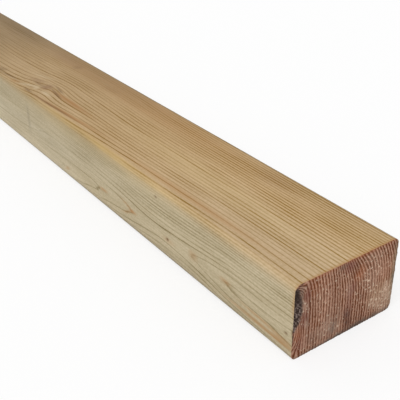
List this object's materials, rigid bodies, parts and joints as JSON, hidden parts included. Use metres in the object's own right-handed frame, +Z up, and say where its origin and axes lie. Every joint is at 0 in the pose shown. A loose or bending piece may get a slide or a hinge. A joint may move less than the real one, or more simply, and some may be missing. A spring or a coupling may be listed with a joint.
{
  "type": "timber plank",
  "caption": "Planed softwood plank of rectangular section with rounded arrises, lying on its wide face.",
  "frame": {"origin": "centre of the bottom face, where the plank rests on the floor", "axes": "+X along the plank towards the near end of the picture, +Y across its width, +Z up through its thickness"},
  "size_m": [2, 0.07, 0.045],
  "materials": {
    "timber": "planed, unfinished"
  },
  "bodies": {
    "root": {"plank": "timber"}
  },
  "joints": []
}
